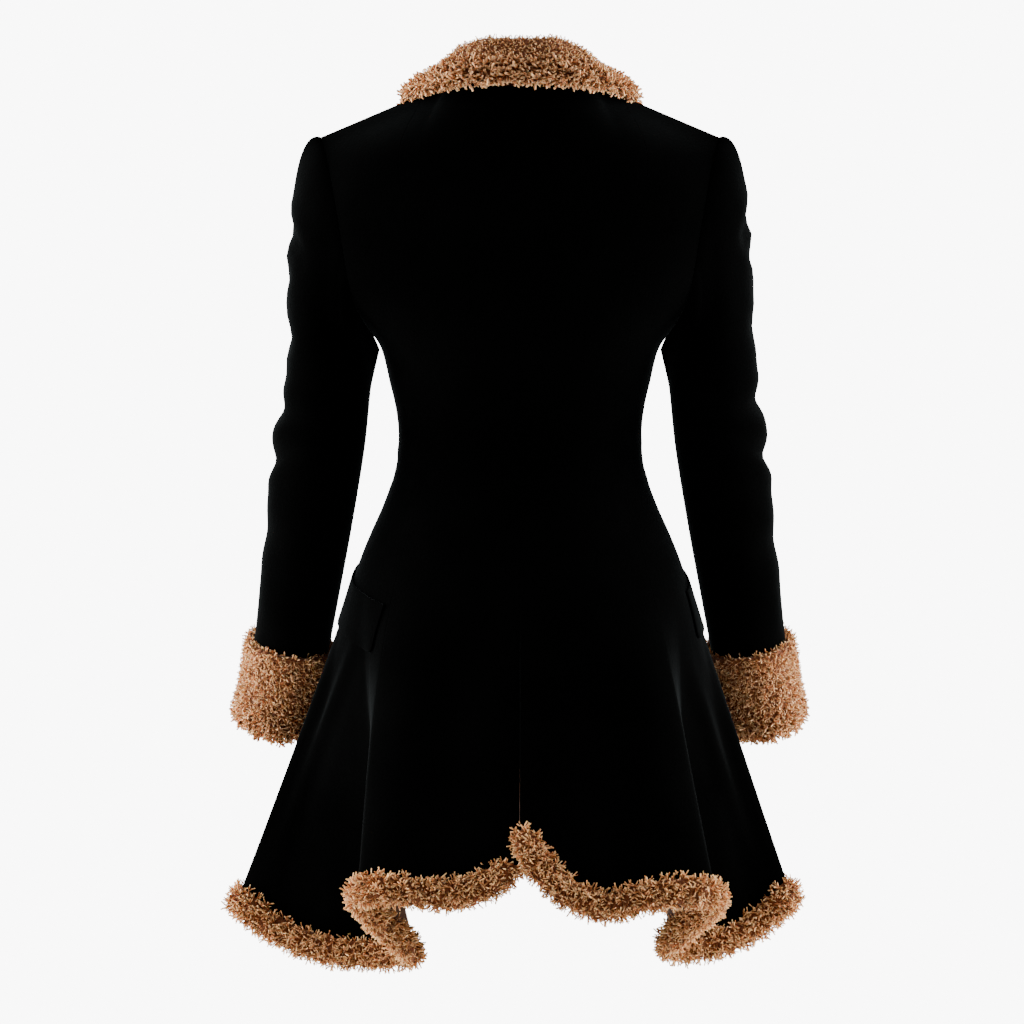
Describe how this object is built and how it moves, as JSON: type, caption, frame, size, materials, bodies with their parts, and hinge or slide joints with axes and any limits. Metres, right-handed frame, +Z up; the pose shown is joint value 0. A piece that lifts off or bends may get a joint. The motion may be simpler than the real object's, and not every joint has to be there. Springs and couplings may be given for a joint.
{
  "type": "fur-trimmed velvet coat",
  "caption": "Fitted, flared velvet coat with curly fur at its turned-down collar, deep cuffs and rolled hem, standing open and hollow as when worn.",
  "frame": {"origin": "middle of the neck's base, level with the nape, where the wearer's shoulders hold the coat", "axes": "+Z up, -Y to the coat's front, +X to the wearer's left"},
  "size_m": [0.5976, 0.4087, 0.9356],
  "materials": {
    "velvet": "black cotton velvet with a short nap",
    "fur": "tan curly pile, like shearling",
    "lining": "dark brown satin lining",
    "buttons": "plain dark buttons with a raised rim"
  },
  "bodies": {
    "root": {"back_left": "velvet", "side_left": "velvet", "front_left": "velvet", "sleeve_under_left": "velvet", "sleeve_top_left": "velvet", "pocket_flap_left": "velvet", "back_right": "velvet", "side_right": "velvet", "front_right": "velvet", "sleeve_under_right": "velvet", "sleeve_top_right": "velvet", "pocket_flap_right": "velvet", "cuff_left": "fur", "cuff_right": "fur", "hem_fur_left": "fur", "hem_fur_right": "fur", "collar": "fur", "skirt_lining_left": "lining", "skirt_lining_right": "lining", "button_1": "buttons", "button_2": "buttons", "button_3": "buttons", "button_4": "buttons", "button_5": "buttons"}
  },
  "joints": []
}
